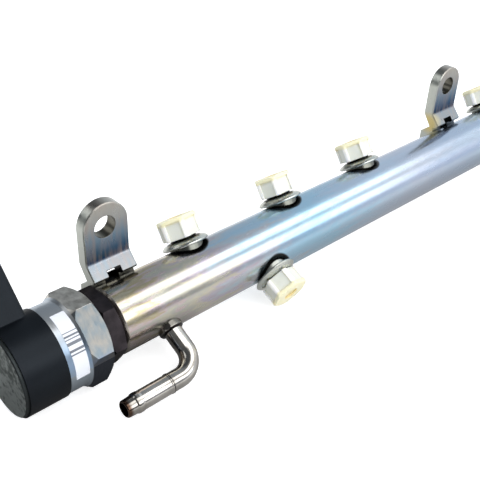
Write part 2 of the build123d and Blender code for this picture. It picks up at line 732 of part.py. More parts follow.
def sensor_connector():
    """The sensor's black moulding: a round foot and a plug socket with three blades."""
    foot = turned([
        (0, SENSOR_CAN_END),
        (SENSOR_MOULDING_R, SENSOR_CAN_END),
        (SENSOR_MOULDING_R, SENSOR_MOULDING_END - SENSOR_MOULDING_EDGE),
        (SENSOR_MOULDING_R - SENSOR_MOULDING_EDGE, SENSOR_MOULDING_END),
        (0, SENSOR_MOULDING_END),
    ])
    wide, high = SENSOR_SOCKET_SIZE
    shroud = RectangleRounded(wide, high, ARM_CORNER_R)
    shroud_start = SENSOR_MOULDING_END - SENSOR_MOULDING_EDGE
    shroud = Pos(0, 0, shroud_start) * extrude(shroud, amount=SENSOR_SOCKET_END - shroud_start)
    hollow = RectangleRounded(wide - 2 * SOCKET_WALL, high - 2 * SOCKET_WALL, SOCKET_CORNER_R)
    hollow = Pos(0, 0, SENSOR_SOCKET_END - SOCKET_DEPTH) * extrude(hollow, amount=SOCKET_DEPTH)
    moulding = foot + shroud - hollow
    for number in range(SENSOR_BLADES):
        moulding -= sensor_blade(number)
    return moulding


def sensor_blade(number):
    thick, wide, length = BLADE
    offset = (number - (SENSOR_BLADES - 1) / 2) * BLADE_GAP
    bottom = SENSOR_CAN_END + SENSOR_BLADE_ROOT
    top = SENSOR_SOCKET_END - SOCKET_DEPTH + length
    return Pos(offset, 0, (bottom + top) / 2) * Box(wide, thick, top - bottom)


# angles about the valve run the other way round from angles about the rail
VALVE_HEX_TURN = Rot(0, 0, -HEX_CORNER)
NUT_TURN = Rot(0, 0, -NUT_CORNER)
ARM_TURN = Rot(0, 0, -ARM_LEAN)


def all_pieces():
    """Every separate piece of the rail, by name, about the tube's own axis."""
    pieces = {"rail_tube": rail_tube()}
    for number, x in enumerate(PORT_X):
        pieces[f"injector_port_{number + 1}"] = seated_port(x, PORT_LEAN)
        pieces[f"throttle_insert_{number + 1}"] = throttle_insert(x)
        pieces[f"injector_cap_{number + 1}"] = injector_cap(number)
    pieces["feed_port"] = seated_port(FEED_X, FEED_LEAN)
    pieces["feed_cap"] = radial(FEED_X, FEED_LEAN) * Rot(0, 0, FEED_CAP_TURN) * port_cap()
    for side, x in BRACKET_X.items():
        pieces[f"bracket_{side}"] = bracket(x)
    pieces["return_boss"] = return_boss()
    pieces["return_pipe"] = return_pipe()
    on_valve = {
        "valve_body": valve_body(),
        "valve_end_plate": valve_end_plate(),
        "valve_lock_nut": NUT_TURN * valve_lock_nut(),
        "valve_seat": valve_seat(),
        "valve_ball": valve_ball(),
        "armature_pin": armature_pin(),
        "armature": armature(),
        "armature_stop": armature_stop(),
        "valve_spring": valve_spring(),
        "coil_bobbin": coil_bobbin(),
        "coil_winding": coil_winding(),
        "shank_o_ring": shank_o_ring(),
        "shank_backup_ring": shank_backup_ring(),
    }
    for name, piece in on_valve.items():
        pieces[name] = VALVE_FRAME * piece
    pieces["valve_connector"] = valve_connector()
    pieces["valve_terminal_left"] = blade_stem(-1)
    pieces["valve_terminal_right"] = blade_stem(1)
    pieces["valve_label"] = valve_label()
    pieces["sensor_washer"] = SENSOR_FRAME * ring(THREAD_R, WASHER_R, *WASHER)
    pieces["sensor_body"] = SENSOR_FRAME * sensor_body()
    pieces["sensor_connector"] = SENSOR_FRAME * sensor_connector()
    for number in range(SENSOR_BLADES):
        pieces[f"sensor_terminal_{number + 1}"] = SENSOR_FRAME * sensor_blade(number)
    return pieces


def main():
    os.makedirs("parts", exist_ok=True)
    to_origin = Pos(0, -TAB_REAR_Y, -BOLT_Z)
    for name, piece in all_pieces().items():
        export_step(to_origin * piece, f"parts/{name}.step")


main()
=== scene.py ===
"""The looks of a diesel common rail with its transport caps, pressure control valve and sensor.

The rail lies along X. The origin is the middle bracket's bolt hole, +Y points into the engine and
+Z is up. Blender works in metres, and MM turns the millimetres that sizes are written in to them.
Angles round the rail run from +Y towards +Z.
"""
import json
import math

import bpy
from mathutils import Matrix, Vector


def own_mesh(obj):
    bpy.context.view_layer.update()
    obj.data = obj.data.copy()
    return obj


MM = 0.001
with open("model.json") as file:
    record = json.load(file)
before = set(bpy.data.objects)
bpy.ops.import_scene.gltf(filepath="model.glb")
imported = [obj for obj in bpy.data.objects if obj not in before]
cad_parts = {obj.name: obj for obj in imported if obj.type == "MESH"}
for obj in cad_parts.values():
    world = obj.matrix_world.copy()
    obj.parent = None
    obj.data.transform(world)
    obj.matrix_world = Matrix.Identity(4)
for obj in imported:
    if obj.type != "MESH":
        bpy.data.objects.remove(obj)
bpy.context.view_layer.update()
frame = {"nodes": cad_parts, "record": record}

# ---------------------------------------------------------------- where things are, in millimetres
# the rail's axis, its end beside the valve with the width of its bare bevel, the stretch of it
# along which the film's colours run, and the floor
RAIL_Y, RAIL_Z = -15.0, -33.8
TUBE_LEFT = -220.0
PLATING_START = 1.7
FILM_X = (-230.0, 50.0)
FLOOR_Z = -52.8

# an even row of injector ports with one place left free, and the feed port; heights on a port and
# its cap are from the rail's axis, and radii from the port's own
PORT_PITCH = 53.6
FIRST_PORT_X = -175.2
FREE_PLACE_X = FIRST_PORT_X + 3 * PORT_PITCH
PORT_LEAN = 55.0
FEED_X = -144.4
FEED_LEAN = 203.5
# painted shadow: a black ring on the tube under each port's flange, with its height, radius and fade
FLANGE_SHADOW_FROM = 0.8
FLANGE_SHADOW_R = 8.8
FLANGE_SHADOW_FADE = 0.6
# the neck under each port's flange, which is painted darker as shade
NECK_MIDDLE = 10.0
NECK_HALF = 4.0
# the thread in the gap under a lifted cap, which is painted black as shadow
CAP_GAP_SHADOW_FROM = 16.2
CAP_GAP_SHADOW_R = 6.95
CAP_FACE_R = 7.58
CAP_RIM_FROM = 23.7
CAP_DIMPLE_R = 3.2
CAP_DIMPLE_FLOOR = 24.1
INJECTOR_CAP_LIFT = 0.7

# the brackets: the film's colours run from the fold to the tab's top, and a pocket is sunk under
# the lip, painted black as shade
BRACKET_PITCH = 211.0
FOLD_LOW_Z = -20.0
TAB_TOP_Z = 9.6
HOLE_R = 4.55
LIP_UNDER_Z = -18.9
LIP_BACK_Y = -5.0
POCKET_X = 0.4
POCKET_HALF_WIDTH = 3.1
POCKET_TOP_Z = -16.7
POCKET_BACK_Y = -2.8
STRAW_STAIN = (-9.0, -4.0, -19.0)
STRAW_STAIN_R = 3.0

# the return boss and pipe, and the valve, with the angles in degrees that its tints and the print
# on its label cover
NIPPLE_LEAN = 205.0
BOSS_TOP = 15.2
PIPE_END_X = -232.9
SEAM_EDGE_X = -213.1
VALVE_NECK_FROM_X = -236.7
VALVE_TINT_ANGLES = (60.0, 180.0)
LABEL_MIDDLE_ANGLE = 142.0
LABEL_PRINT_HALF = 20.0
LABEL_BARS_PER_DEGREE = 0.24


# ---------------------------------------------------------------- colours and shader nodes
def colour(code):
    """An sRGB hex colour as linear RGBA."""
    parts = [int(code[i:i + 2], 16) / 255 for i in (1, 3, 5)]
    linear = [p / 12.92 if p <= 0.04045 else ((p + 0.055) / 1.055) ** 2.4 for p in parts]
    return (*linear, 1.0)


def add(tree, kind, values, output=0):
    """Adds a node and returns one of its outputs.

    Each value is a socket to link from, an option of the node, the stops of its ramp in order or
    the plain value of an input; a hex code stands for a colour.
    """
    node = tree.nodes.new(kind)
    for name, value in values.items():
        if name == "stops":
            elements = node.color_ramp.elements
            for place, code in value[1:-1]:
                elements.new(place)
            for element, (place, code) in zip(elements, value):
                element.position = place
                element.color = colour(code)
        elif isinstance(value, bpy.types.NodeSocket):
            tree.links.new(value, node.inputs[name])
        elif isinstance(name, int) or name in node.inputs:
            node.inputs[name].default_value = colour(value) if isinstance(value, str) else value
        else:
            setattr(node, name, value)
    return node.outputs[output] if node.outputs else node


def empty_tree(owner):
    """The emptied node tree of a material or a world."""
    owner.use_nodes = True
    owner.node_tree.nodes.clear()
    return owner.node_tree


def finish(name, describe, **constant):
    """A material whose surface is what describe works out from the piece's own coordinates."""
    made = bpy.data.materials.new(name)
    tree = empty_tree(made)
    place = add(tree, "ShaderNodeTexCoord", {}, "Object")
    surface = add(tree, "ShaderNodeBsdfPrincipled", {**constant, **describe(tree, place)})
    add(tree, "ShaderNodeOutputMaterial", {"Surface": surface})
    return made


def patches(tree, place, size, low, high, detail=3.0, contrast=0.18):
    """Uneven patches of a size in mm along X, Y and Z, running from low to high."""
    scale = tuple(1 / (side * MM) for side in size)
    stretched = add(tree, "ShaderNodeMapping", {"Vector": place, "Scale": scale})
    cloud = add(tree, "ShaderNodeTexNoise", {"Vector": stretched, "Scale": 1.0, "Detail": detail})
    return add(tree, "ShaderNodeMapRange", {
        "Value": cloud, "From Min": 0.5 - contrast, "From Max": 0.5 + contrast, "To Min": low, "To Max": high,
    })


def millimetres(tree, place, direction, origin=(0, 0, 0)):
    """How far a point lies from origin along a direction, in mm."""
    aim = Vector(direction).normalized() / MM
    return add(tree, "ShaderNodeMath", {
        "operation": "SUBTRACT",
        0: add(tree, "ShaderNodeVectorMath", {"operation": "DOT_PRODUCT", 0: place, 1: aim}, "Value"),
        1: Vector(origin).dot(aim) * MM,
    })


def either_way(tree, value, middle=0.0):
    """How far a value lies from a middle, either way."""
    beyond = add(tree, "ShaderNodeMath", {"operation": "SUBTRACT", 0: value, 1: middle})
    return add(tree, "ShaderNodeMath", {"operation": "ABSOLUTE", 0: beyond})


def overlap(tree, *values):
    """The largest of some values, which is low only where all of them are."""
    largest = values[0]
    for value in values[1:]:
        largest = add(tree, "ShaderNodeMath", {"operation": "MAXIMUM", 0: largest, 1: value})
    return largest


def from_nearest(tree, place, first_x, pitch):
    """How far along the rail a point lies from the nearest of an even row of places, in mm."""
    return add(tree, "ShaderNodeMath", {
        "operation": "WRAP",
        0: millimetres(tree, place, (1, 0, 0), (first_x, 0, 0)),
        1: pitch / 2,
        2: -pitch / 2,
    })


def sideways(tree):
    """How far a face turns to either end of the rail: 0 for one along it, 1 for one square to it."""
    facing = add(tree, "ShaderNodeNewGeometry", {}, "Normal")
    return either_way(tree, add(tree, "ShaderNodeSeparateXYZ", {"Vector": facing}, "X"))


def lean(angle):
    """The direction square to the rail at an angle."""
    return Vector((0, math.cos(math.radians(angle)), math.sin(math.radians(angle))))


def from_port_axis(tree, place, first_x, angle):
    """Height above the rail's axis and distance from the nearest port's axis, in mm."""
    rail = (0, RAIL_Y, RAIL_Z)
    height = millimetres(tree, place, lean(angle), rail)
    across = millimetres(tree, place, lean(angle + 90), rail)
    along = from_nearest(tree, place, first_x, PORT_PITCH)
    flat = add(tree, "ShaderNodeCombineXYZ", {"X": along, "Y": across})
    return height, add(tree, "ShaderNodeVectorMath", {"operation": "LENGTH", 0: flat}, "Value")


def above(tree, height, distance, start, radius):
    """The distance from a port's axis, but more than a radius wherever height is under a start."""
    short = add(tree, "ShaderNodeMath", {"operation": "SUBTRACT", 0: start + radius, 1: height})
    return overlap(tree, distance, short)


def coats(tree, tint, *layers):
    """Lays colours over a tint, each where its value lies under an edge, fading out past it.

    A Mix node of colours has its share at input 0, its colours at 6 and 7 and the result at 2.
    """
    for value, edge, fade, code in layers:
        share = add(tree, "ShaderNodeMapRange", {
            "Value": value, "From Min": edge, "From Max": edge + fade, "To Min": 1.0, "To Max": 0.0,
        })
        tint = add(tree, "ShaderNodeMix", {"data_type": "RGBA", 0: share, 6: tint, 7: code}, 2)
    return tint


def relief(tree, height, depth, edge):
    """A shading normal with a grain of a depth in mm and soft edges of a radius in mm."""
    soft = add(tree, "ShaderNodeBevel", {"Radius": edge * MM})
    return add(tree, "ShaderNodeBump", {
        "Height": height, "Distance": depth * MM, "Strength": 0.5, "Normal": soft,
    })


# ---------------------------------------------------------------- metals
def drawn_tube(tree, place):
    """Drawn steel, zinc plated and blue passivated. The film is thin and shifts in streaks from
    straw, olive and rose at the valve end to a clear blue and then blue-grey along the rail, over
    a smooth, faintly scratched face. The bevelled end is bare, and a black ring round each port's
    foot is painted shadow under its flange."""
    along = millimetres(tree, place, (1, 0, 0))
    streaks = patches(tree, place, (46, 7, 7), -22, 22, 4.0)
    flecks = patches(tree, place, (6, 1.6, 1.6), -9, 9, 2.0)
    film = add(tree, "ShaderNodeMath", {"operation": "ADD", 0: along, 1: streaks})
    film = add(tree, "ShaderNodeMath", {"operation": "ADD", 0: film, 1: flecks})
    share = add(tree, "ShaderNodeMapRange", {"Value": film, "From Min": FILM_X[0], "From Max": FILM_X[1]})
    tint = add(tree, "ShaderNodeValToRGB", {"Fac": share, "stops": [
        (0.00, "#c3bda9"), (0.05, "#b3a98b"), (0.09, "#c2b4b4"), (0.12, "#b7b7ae"), (0.16, "#c4bfae"),
        (0.20, "#b9b2bd"), (0.25, "#b7bfc6"), (0.32, "#a5c0d3"), (0.40, "#9fc2d7"), (0.52, "#aebfd0"),
        (0.66, "#b3bccb"), (0.82, "#a9b8cb"), (1.00, "#afc2d3"),
    ]})
    port_height, port_r = from_port_axis(tree, place, FIRST_PORT_X, PORT_LEAN)
    feed_height, feed_r = from_port_axis(tree, place, FEED_X, FEED_LEAN)
    from_free_place = either_way(tree, along, FREE_PLACE_X)
    beside_free_place = add(tree, "ShaderNodeMath", {
        "operation": "SUBTRACT", 0: PORT_PITCH / 2, 1: from_free_place,
    })
    from_feed = either_way(tree, along, FEED_X)
    flange_shadows = []
    for height, distance, elsewhere in (
        (port_height, port_r, beside_free_place), (feed_height, feed_r, from_feed),
    ):
        # a ring of painted shadow under each flange, left out at the free place
        flange_shadow = overlap(tree, above(tree, height, distance, FLANGE_SHADOW_FROM, FLANGE_SHADOW_R), elsewhere)
        flange_shadows.append((flange_shadow, FLANGE_SHADOW_R, FLANGE_SHADOW_FADE, "#2c2c2a"))
    from_end = millimetres(tree, place, (1, 0, 0), (TUBE_LEFT, 0, 0))
    tint = coats(tree, tint, *flange_shadows, (from_end, PLATING_START, 0.2, "#b5aea4"))
    scratches = patches(tree, place, (14, 0.7, 0.7), 0.0, 1.0, 2.0)
    rings = patches(tree, place, (0.8, 30, 30), 0.0, 1.0, 2.0)
    grain = add(tree, "ShaderNodeMath", {"operation": "MULTIPLY_ADD", 0: rings, 1: 2.0, 2: scratches})
    return {
        "Base Color": tint,
        "Roughness": patches(tree, place, (9, 2, 2), 0.17, 0.28),
        "Normal": add(tree, "ShaderNodeBump", {"Height": grain, "Distance": 0.005 * MM, "Strength": 0.4}),
    }


def pressed_sheet(tree, place):
    """Pressed steel sheet, zinc plated. The film is a warm grey on the tab, thickens to a deep blue
    just above the fold and is pale below it; sheared edges are paler still. The bolt hole's wall is
    painted darker as shade, the lip's underside grey and the pocket under the lip black, both as
    painted shade, and the middle bracket has a straw stain in the corner of its fold."""
    height = millimetres(tree, place, (0, 0, 1))
    across = from_nearest(tree, place, POCKET_X, BRACKET_PITCH)
    share = add(tree, "ShaderNodeMapRange", {"Value": height, "From Min": FOLD_LOW_Z, "From Max": TAB_TOP_Z})
    tint = add(tree, "ShaderNodeValToRGB", {"Fac": share, "stops": [
        (0.00, "#8f979b"), (0.20, "#87929b"), (0.235, "#1f3651"), (0.34, "#375470"), (0.52, "#70879a"),
        (0.74, "#a0a2a1"), (1.00, "#b0ada5"),
    ]})
    turned = sideways(tree)
    from_sheared_edge = add(tree, "ShaderNodeMath", {"operation": "SUBTRACT", 0: 0.75, 1: turned})
    # painted shadow: grey on the faces below the lip at the front, not on its sheared sides
    lip_painted_shadow = overlap(
        tree,
        millimetres(tree, place, (0, 0, 1), (0, 0, LIP_UNDER_Z)),
        millimetres(tree, place, (0, 1, 0), (0, LIP_BACK_Y, 0)),
    )
    lip_painted_shadow = add(tree, "ShaderNodeMath", {"operation": "MULTIPLY_ADD", 0: turned, 1: 2.0, 2: lip_painted_shadow})
    streaks = patches(tree, place, (2.0, 6, 12), 0.55, 1.15, 3.0)
    from_hole = add(tree, "ShaderNodeVectorMath", {
        "operation": "LENGTH",
        0: add(tree, "ShaderNodeCombineXYZ", {
            "X": add(tree, "ShaderNodeMath", {"operation": "ADD", 0: across, 1: POCKET_X}), "Y": height,
        }),
    }, "Value")
    from_stain = add(tree, "ShaderNodeVectorMath", {
        "operation": "DISTANCE", 0: place, 1: Vector(STRAW_STAIN) * MM,
    }, "Value")
    # painted shade: the pocket under the lip is coloured black
    pocket = overlap(
        tree,
        either_way(tree, across),
        millimetres(tree, place, (0, 0, 1), (0, 0, POCKET_TOP_Z - POCKET_HALF_WIDTH)),
        millimetres(tree, place, (0, 1, 0), (0, POCKET_BACK_Y - POCKET_HALF_WIDTH, 0)),
    )
    tint = coats(
        tree, tint,
        (streaks, 0.0, 1.0, "#a08f86"),
        (from_sheared_edge, 0.0, 0.4, "#bcc0b9"),
        # painted shade: the bolt hole's wall is coloured darker
        (from_hole, HOLE_R, 0.05, "#6d6b62"),
        (lip_painted_shadow, 0.0, 0.3, "#66696b"),
        (from_stain, STRAW_STAIN_R * MM, 3.5 * MM, "#cdbd86"),
        (pocket, POCKET_HALF_WIDTH, 0.05, "#141516"),
    )
    grain = patches(tree, place, (1.2, 1.2, 6), 0.0, 1.0, 3.0)
    return {
        "Base Color": tint,
        "Roughness": patches(tree, place, (2, 2, 6), 0.26, 0.38),
        "Normal": relief(tree, grain, 0.012, 0.45),
    }


def worked_metal(dark, light, rough, size, depth=0.01, edge=0.25):
    """A turned, milled or plated face: two tones in patches and a grain of a size in mm."""
    def describe(tree, place):
        share = patches(tree, place, tuple(6 * side for side in size), 0.0, 1.0, 4.0)
        grain = patches(tree, place, size, 0.0, 1.0)
        return {
            "Base Color": coats(tree, light, (share, 0.0, 1.0, dark)),
            "Roughness": patches(tree, place, size, *rough),
            "Normal": relief(tree, grain, depth, edge),
        }
    return describe


def turned_port(tree, place):
    """Free-cutting steel, turned and zinc plated: grey-green with sharp glints, and painted darker on
    the neck as shade under the flange. The thread under a lifted cap is painted black as shadow."""
    height, distance = from_port_axis(tree, place, FIRST_PORT_X, PORT_LEAN)
    # painted shade: the neck under the flange is coloured darker
    from_shaded_neck = either_way(tree, height, NECK_MIDDLE)
    # painted shadow: black on the thread in the gap under a lifted cap
    in_cap_gap_shadow = above(tree, height, distance, CAP_GAP_SHADOW_FROM, CAP_GAP_SHADOW_R)
    made = worked_metal("#b4b8b2", "#d2d4cc", (0.24, 0.30), (4, 4, 4), 0.002, 0.15)(tree, place)
    made["Base Color"] = coats(
        tree, made["Base Color"],
        (from_shaded_neck, NECK_HALF, 0.2, "#74766f"),
        (in_cap_gap_shadow, CAP_GAP_SHADOW_R, 0.3, "#171816"),
    )
    return made


def nickel_pipe(tree, place):
    """Bright nickel: warm grey, and smooth enough to mirror light and dark. The boss is a darker
    grey, the hose end is stained brown, and the rolled seam and the brazed joint show as dark lines."""
    along = millimetres(tree, place, (1, 0, 0))
    from_seam = either_way(tree, along, SEAM_EDGE_X)
    joint = Vector((0, RAIL_Y, RAIL_Z)) + BOSS_TOP * lean(NIPPLE_LEAN)
    above_joint = millimetres(tree, place, lean(NIPPLE_LEAN), joint)
    from_joint = either_way(tree, above_joint)
    clouds = patches(tree, place, (9, 9, 9), 0.0, 1.0, 4.0)
    tint = coats(
        tree, "#cfccc6",
        (clouds, 0.0, 1.0, "#a9a59e"),
        (above_joint, -0.2, 0.2, "#77756f"),
        (along, PIPE_END_X + 1.0, 1.2, "#5b473a"),
        (from_seam, 0.12, 0.12, "#2b2825"),
        (from_joint, 0.2, 0.25, "#1f1d1b"),
    )
    grain = patches(tree, place, (1.5, 1.5, 1.5), 0.0, 1.0)
    return {
        "Base Color": tint,
        "Roughness": patches(tree, place, (3, 3, 3), 0.08, 0.16),
        "Normal": relief(tree, grain, 0.004, 0.15),
    }


def round_the_rail(tree, place):
    """The angle round the rail, in degrees."""
    up = millimetres(tree, place, (0, 0, 1), (0, 0, RAIL_Z))
    back = millimetres(tree, place, (0, 1, 0), (0, RAIL_Y, 0))
    turn = add(tree, "ShaderNodeMath", {"operation": "ARCTAN2", 0: up, 1: back})
    return add(tree, "ShaderNodeMath", {"operation": "MULTIPLY", 0: turn, 1: math.degrees(1)})


def milled_valve(tree, place):
    """Free-cutting steel with a dull zinc plate: warm white on top, slate grey mottled with tan in
    front, and painted a darker navy underneath as shade. The neck past the hexagon is a paler blue."""
    angle = round_the_rail(tree, place)
    share = add(tree, "ShaderNodeMapRange", {
        "Value": angle, "From Min": VALVE_TINT_ANGLES[0], "From Max": VALVE_TINT_ANGLES[1],
    })
    tint = add(tree, "ShaderNodeValToRGB", {"Fac": share, "stops": [
        (0.00, "#e4e2db"), (0.40, "#e6e4dd"), (0.41, "#6a7378"), (0.88, "#6c777e"), (0.91, "#6a7688"),
        (1.00, "#667184"),
    ]})
    neck = add(tree, "ShaderNodeValToRGB", {"Fac": share, "stops": [
        (0.0, "#c3cfda"), (0.4, "#c9cbcc"), (0.7, "#899aac"), (0.9, "#93aac4"), (1.0, "#bcd0e6"),
    ]})
    beyond_hexagon = millimetres(tree, place, (1, 0, 0), (VALVE_NECK_FROM_X, 0, 0))
    mist = patches(tree, place, (6, 6, 6), -8, 8)
    # painted shade: a darker navy underneath, set by the angle round the rail
    under = add(tree, "ShaderNodeMath", {"operation": "ADD", 0: angle, 1: mist})
    tan = patches(tree, place, (2.5, 4, 4), 0.25, 1.1, 5.0, 0.2)
    tint = coats(
        tree, tint,
        (tan, 0.0, 1.0, "#8b867e"),
        (under, -10.0, 40.0, "#3a4250"),
        (beyond_hexagon, 0.0, 0.3, neck),
    )
    grain = patches(tree, place, (0.5, 4, 4), 0.0, 1.0)
    return {
        "Base Color": tint,
        "Roughness": add(tree, "ShaderNodeMapRange", {"Value": grain, "To Min": 0.30, "To Max": 0.42}),
        "Normal": relief(tree, grain, 0.012, 0.3),
    }


def spangled_disc(tree, place):
    """Rolled sheet steel, hot zinc plated: a mottled grey-green crystal pattern, paler below, with
    a dark rim. The crystals are drawn about 1.2 mm across, coarse enough to show."""
    crystal_width = 1.2 * MM
    crystal = add(tree, "ShaderNodeTexVoronoi", {"Vector": place, "Scale": 1 / crystal_width}, "Color")
    crystal = add(tree, "ShaderNodeRGBToBW", {"Color": crystal})
    flecks = patches(tree, place, (2.4, 2.4, 2.4), 0.0, 1.0, 5.0)
    paler = add(tree, "ShaderNodeMapRange", {
        "Value": millimetres(tree, place, (0, 0, 1), (0, 0, RAIL_Z)),
        "From Min": -10.0, "From Max": 6.0, "To Min": 0.45, "To Max": 0.0,
    })
    tone = add(tree, "ShaderNodeMath", {"operation": "MULTIPLY_ADD", 0: crystal, 1: 0.4, 2: flecks})
    tone = add(tree, "ShaderNodeMath", {"operation": "ADD", 0: tone, 1: paler})
    tint = add(tree, "ShaderNodeValToRGB", {"Fac": tone, "stops": [
        (0.3, "#444c4a"), (0.7, "#6c7472"), (1.0, "#a2a8a6"),
    ]})
    tint = coats(tree, tint, (sideways(tree), 0.7, 0.25, "#34393a"))
    return {
        "Base Color": tint,
        "Roughness": add(tree, "ShaderNodeMapRange", {"Value": flecks, "To Min": 0.36, "To Max": 0.56}),
        "Normal": add(tree, "ShaderNodeBump", {"Height": flecks, "Distance": 0.012 * MM, "Strength": 0.5}),
    }


# ---------------------------------------------------------------- plastics, rubber and paper
def moulded(dark, light, roughness):
    """A moulded face with a fine spark-eroded grit, drawn at 0.35 mm so that it shows."""
    def describe(tree, place):
        grain = patches(tree, place, (0.35, 0.35, 0.35), 0.0, 1.0, 2.0)
        clouds = patches(tree, place, (8, 8, 8), 0.0, 1.0)
        return {
            "Base Color": coats(tree, light, (clouds, 0.0, 1.0, dark)),
            "Roughness": add(tree, "ShaderNodeMapRange", {
                "Value": grain, "To Min": roughness - 0.05, "To Max": roughness + 0.05,
            }),
            "Normal": relief(tree, grain, 0.01, 0.4),
        }
    return describe


def moulded_cap(first_x, angle, lift):
    """Natural polyethylene, a waxy off-white that lets light in: greyer in the thin sunk sides,
    straw at the thick end rim and amber in the gate's dimple."""
    def describe(tree, place):
        height, distance = from_port_axis(tree, place, first_x, angle)
        clouds = patches(tree, place, (4, 4, 4), 0.0, 1.0)
        below_rim = add(tree, "ShaderNodeMath", {"operation": "SUBTRACT", 0: CAP_RIM_FROM + lift, 1: height})
        dimple = above(tree, height, distance, CAP_DIMPLE_FLOOR + lift, CAP_DIMPLE_R)
        tint = coats(
            tree, "#fffdf7",
            (clouds, 0.0, 1.0, "#fbf8ee"),
            (distance, CAP_FACE_R, 0.05, "#dedfd3"),
            (below_rim, 0.0, 0.9, "#eee6c2"),
            (dimple, CAP_DIMPLE_R, 0.3, "#ecd9a4"),
        )
        return {
            "Base Color": tint,
            "Roughness": patches(tree, place, (3, 3, 3), 0.30, 0.42),
            "Normal": add(tree, "ShaderNodeBevel", {"Radius": 0.35 * MM}),
        }
    return describe


def coated_label(tree, place):
    """Coated paper with a few plain grey bars in the middle of the strip and blank ends."""
    degrees = round_the_rail(tree, place)
    bars = add(tree, "ShaderNodeTexNoise", {
        "noise_dimensions": "1D", "W": degrees, "Scale": LABEL_BARS_PER_DEGREE, "Detail": 0.0,
    })
    beside = either_way(tree, degrees, LABEL_MIDDLE_ANGLE)
    blank = add(tree, "ShaderNodeMath", {"operation": "GREATER_THAN", 0: beside, 1: LABEL_PRINT_HALF})
    ink = add(tree, "ShaderNodeMath", {"operation": "ADD", 0: bars, 1: blank})
    return {
        "Base Color": coats(tree, "#d9dce2", (ink, 0.46, 0.02, "#666b74")),
        "Roughness": patches(tree, place, (2, 2, 2), 0.34, 0.44),
    }


METAL = {"Metallic": 1.0}
# the disc's crystals and dirt dull what it mirrors
DULLED_METAL = {"Metallic": 0.85}
PLASTIC = {"Metallic": 0.0, "IOR": 1.5}
GLASS_FILLED = {**PLASTIC, "Specular IOR Level": 0.32, "Specular Tint": "#c9d6e4"}
# light goes 2 to 3 mm into a cap's wall, and red the furthest
WAXY = {
    "Metallic": 0.0, "IOR": 1.51, "Subsurface Weight": 0.5, "Subsurface Scale": 1.0 * MM,
    "Subsurface Radius": (3.0, 2.6, 2.0),
}
FINISHES = {
    "blue_zinc": finish("blue_passivated_zinc_on_drawn_tube", drawn_tube, **METAL),
    "bracket_zinc": finish("zinc_plated_pressed_sheet", pressed_sheet, **METAL),
    "port_steel": finish("clear_zinc_on_turned_steel", turned_port, **METAL),
    # ground bearing steel: even and grey
    "hardened_steel": finish(
        "ground_hardened_steel", worked_metal("#8c8d90", "#a3a4a6", (0.20, 0.32), (0.4, 2, 2)), **METAL
    ),
    "bright_nickel": finish("bright_nickel_plate", nickel_pipe, **METAL),
    "dull_zinc": finish("dull_zinc_on_milled_steel", milled_valve, **METAL),
    "mottled_steel": finish("spangled_zinc_on_steel_disc", spangled_disc, **DULLED_METAL),
    # black phosphate conversion: nearly black with a brown cast, oily and dull
    "black_phosphate": finish(
        "black_phosphate_on_steel",
        worked_metal("#2c292b", "#423d40", (0.42, 0.58), (0.8, 0.8, 0.8), 0.02),
        **METAL,
    ),
    # nylon with glass fibre: black with a faint grey sheen
    "black_nylon": finish("glass_filled_nylon", moulded("#030509", "#070b10", 0.42), **GLASS_FILLED),
    # varnish over copper: red-brown and glossy
    "enamelled_copper": finish(
        "enamelled_copper_wire", worked_metal("#6d3420", "#8a4527", (0.25, 0.35), (0.5, 2, 2)), **METAL
    ),
    # copper annealed in a furnace: salmon pink and slightly cloudy
    "soft_copper": finish(
        "annealed_copper", worked_metal("#b87a5e", "#c98b6c", (0.25, 0.35), (1, 1, 1)), **METAL
    ),
    "white_paper": finish("coated_paper", coated_label, **PLASTIC),
    # tin over brass: pale, with a soft gloss
    "tinned_brass": finish(
        "tin_plate_on_brass", worked_metal("#b5b2a8", "#c6c3b8", (0.20, 0.30), (1, 1, 1)), **METAL
    ),
    # turned soft iron: a plain mid grey with short turning marks
    "soft_iron": finish(
        "machined_soft_iron", worked_metal("#6d6d6d", "#828282", (0.25, 0.35), (0.4, 2, 2)), **METAL
    ),
    # nitrile rubber: a dull, soft black
    "black_rubber": finish("moulded_nitrile_rubber", moulded("#0d0d0d", "#161616", 0.65), **PLASTIC),
    # turned PTFE: an even, slightly warm white
    "white_ptfe": finish("turned_ptfe", moulded("#d9d8d2", "#e6e5df", 0.5), **PLASTIC),
    "natural_polyethylene": finish(
        "natural_low_density_polyethylene",
        moulded_cap(FIRST_PORT_X, PORT_LEAN, INJECTOR_CAP_LIFT),
        **WAXY,
    ),
}
FEED_CAP = finish("natural_polyethylene_of_feed_cap", moulded_cap(FEED_X, FEED_LEAN, 0.0), **WAXY)


# ---------------------------------------------------------------- the pieces
for row in frame["record"]["subparts"]:
    piece = frame["nodes"][row["node"]]
    piece.data.materials.clear()
    piece.data.materials.append(FEED_CAP if row["node"] == "feed_cap" else FINISHES[row["material_slot"]])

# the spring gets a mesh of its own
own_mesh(frame["nodes"]["valve_spring"])


# ---------------------------------------------------------------- floor, light and camera
# a share of white that is added to the paper where it is looked at
SEEN_LIFT = 0.62
# how bright the paper and the room are to what mirrors them, where a white lit face is about 1
MIRRORED_UNDER_VALVE, MIRRORED_NEAR, MIRRORED_FAR = 0.08, 0.52, 1.1
ROOM_MIRRORED_NEAR_END, ROOM_MIRRORED_FAR_END = 0.15, 1.25
# from where to where the painted shadow on the mirrored paper lightens, along the rail past
# the valve and away from it
VALVE_SHADE_X = (-198.0, -174.0)
FALL_OFF_Y = (8.0, 90.0)
# how brightly the room lights the rest
ROOM_LIGHT = 0.95


